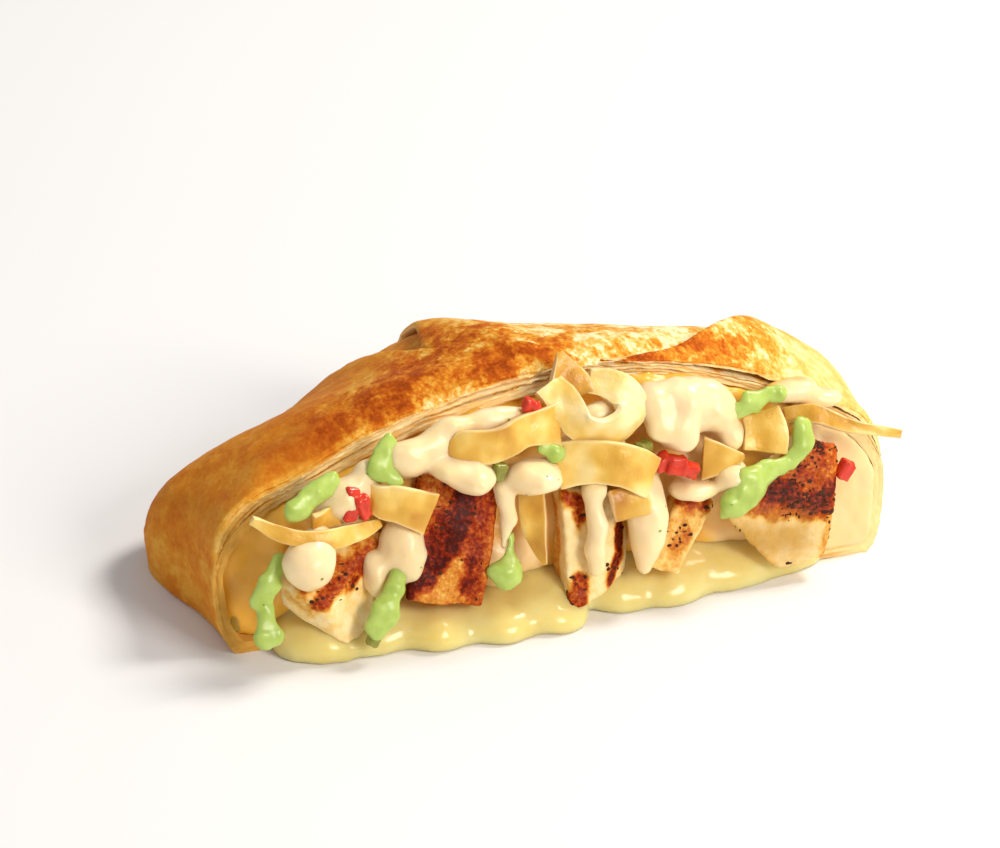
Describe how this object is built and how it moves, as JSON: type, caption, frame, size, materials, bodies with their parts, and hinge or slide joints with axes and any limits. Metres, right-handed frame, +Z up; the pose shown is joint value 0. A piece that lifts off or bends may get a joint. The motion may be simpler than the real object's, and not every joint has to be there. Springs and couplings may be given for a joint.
{
  "type": "folded grilled quesadilla half",
  "caption": "Cut half of a folded, grilled chicken quesadilla, a rounded half hexagon whose open side shows chicken, fried tortilla strips, pepper, cream sauce and melted cheese.",
  "frame": {"origin": "on the flat underside, 36 mm behind the foot of the cut face and half way between the sides at the cut", "axes": "+X along the cut, to the right when facing it; +Y away from the cut, into the wrap; +Z up"},
  "size_m": [0.1549, 0.1018, 0.0545],
  "materials": {
    "grilled_tortilla": "dry baked dough, toasted golden brown in blotches, pale at the cut",
    "grilled_chicken": "moist cooked meat, pale inside, seared brown outside with pepper",
    "fried_tortilla": "fried dough with blisters, slightly oily",
    "red_pepper": "wet and glossy",
    "green_chile": "wet and glossy",
    "melted_cheese": "melted and glossy",
    "sauce": "thick and glossy, with drops of green sauce"
  },
  "bodies": {
    "root": {"tortilla": "grilled_tortilla", "chicken_1": "grilled_chicken", "chicken_2": "grilled_chicken", "chicken_3": "grilled_chicken", "chicken_4": "grilled_chicken", "chicken_5": "grilled_chicken", "tortilla_strip_1": "fried_tortilla", "tortilla_strip_2": "fried_tortilla", "tortilla_strip_3": "fried_tortilla", "tortilla_strip_4": "fried_tortilla", "tortilla_strip_5": "fried_tortilla", "tortilla_strip_6": "fried_tortilla", "tortilla_strip_7": "fried_tortilla", "tortilla_strip_8": "fried_tortilla", "tortilla_strip_9": "fried_tortilla", "tortilla_strip_10": "fried_tortilla", "tortilla_strip_11": "fried_tortilla", "tortilla_strip_12": "fried_tortilla", "red_pepper_1": "red_pepper", "red_pepper_2": "red_pepper", "red_pepper_3": "red_pepper", "red_pepper_4": "red_pepper", "green_chile_1": "green_chile", "green_chile_2": "green_chile", "green_chile_3": "green_chile", "melted_cheese": "melted_cheese", "cream_sauce": "sauce"}
  },
  "joints": []
}
